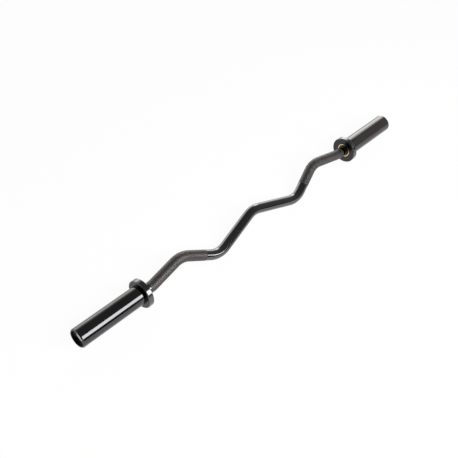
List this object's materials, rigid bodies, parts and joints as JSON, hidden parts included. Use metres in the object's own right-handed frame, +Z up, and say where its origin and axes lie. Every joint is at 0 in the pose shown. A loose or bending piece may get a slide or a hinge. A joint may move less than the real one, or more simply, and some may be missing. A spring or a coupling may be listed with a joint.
{
  "type": "ez curl bar",
  "caption": "Curl bar with a W-bent knurled shaft and free-spinning sleeves that carry standard weight plates.",
  "frame": {"origin": "on the floor under the middle of the bar, with the bar lying on its collars", "axes": "+X along the sleeve axis, +Z up, crests lean to +Y"},
  "size_m": [1.2, 0.075, 0.075],
  "materials": {
    "shaft_black": "black oxide, satin on the knurl",
    "sleeve_black": "gloss black",
    "collar_black": "gloss black",
    "bronze": "turned bronze",
    "washer_steel": "ground",
    "ring_steel": "black phosphated spring steel",
    "plate_steel": "bright plated"
  },
  "bodies": {
    "shaft": {"shaft": "shaft_black", "left_shaft_ring": "ring_steel", "right_shaft_ring": "ring_steel"},
    "left_sleeve": {"left_sleeve": "sleeve_black", "left_collar": "collar_black", "left_inner_bushing": "bronze", "left_outer_bushing": "bronze", "left_inner_thrust_washer": "washer_steel", "left_outer_thrust_washer": "washer_steel", "left_end_plate": "plate_steel", "left_sleeve_ring": "ring_steel"},
    "right_sleeve": {"right_sleeve": "sleeve_black", "right_collar": "collar_black", "right_inner_bushing": "bronze", "right_outer_bushing": "bronze", "right_inner_thrust_washer": "washer_steel", "right_outer_thrust_washer": "washer_steel", "right_end_plate": "plate_steel", "right_sleeve_ring": "ring_steel"}
  },
  "joints": [
    {"name": "left_sleeve_spin", "type": "hinge", "parent": "shaft", "child": "left_sleeve", "pos_m": [-0.5, 0, 0.0375], "axis": [1, 0, 0], "continuous": true},
    {"name": "right_sleeve_spin", "type": "hinge", "parent": "shaft", "child": "right_sleeve", "pos_m": [0.5, 0, 0.0375], "axis": [1, 0, 0], "continuous": true}
  ]
}
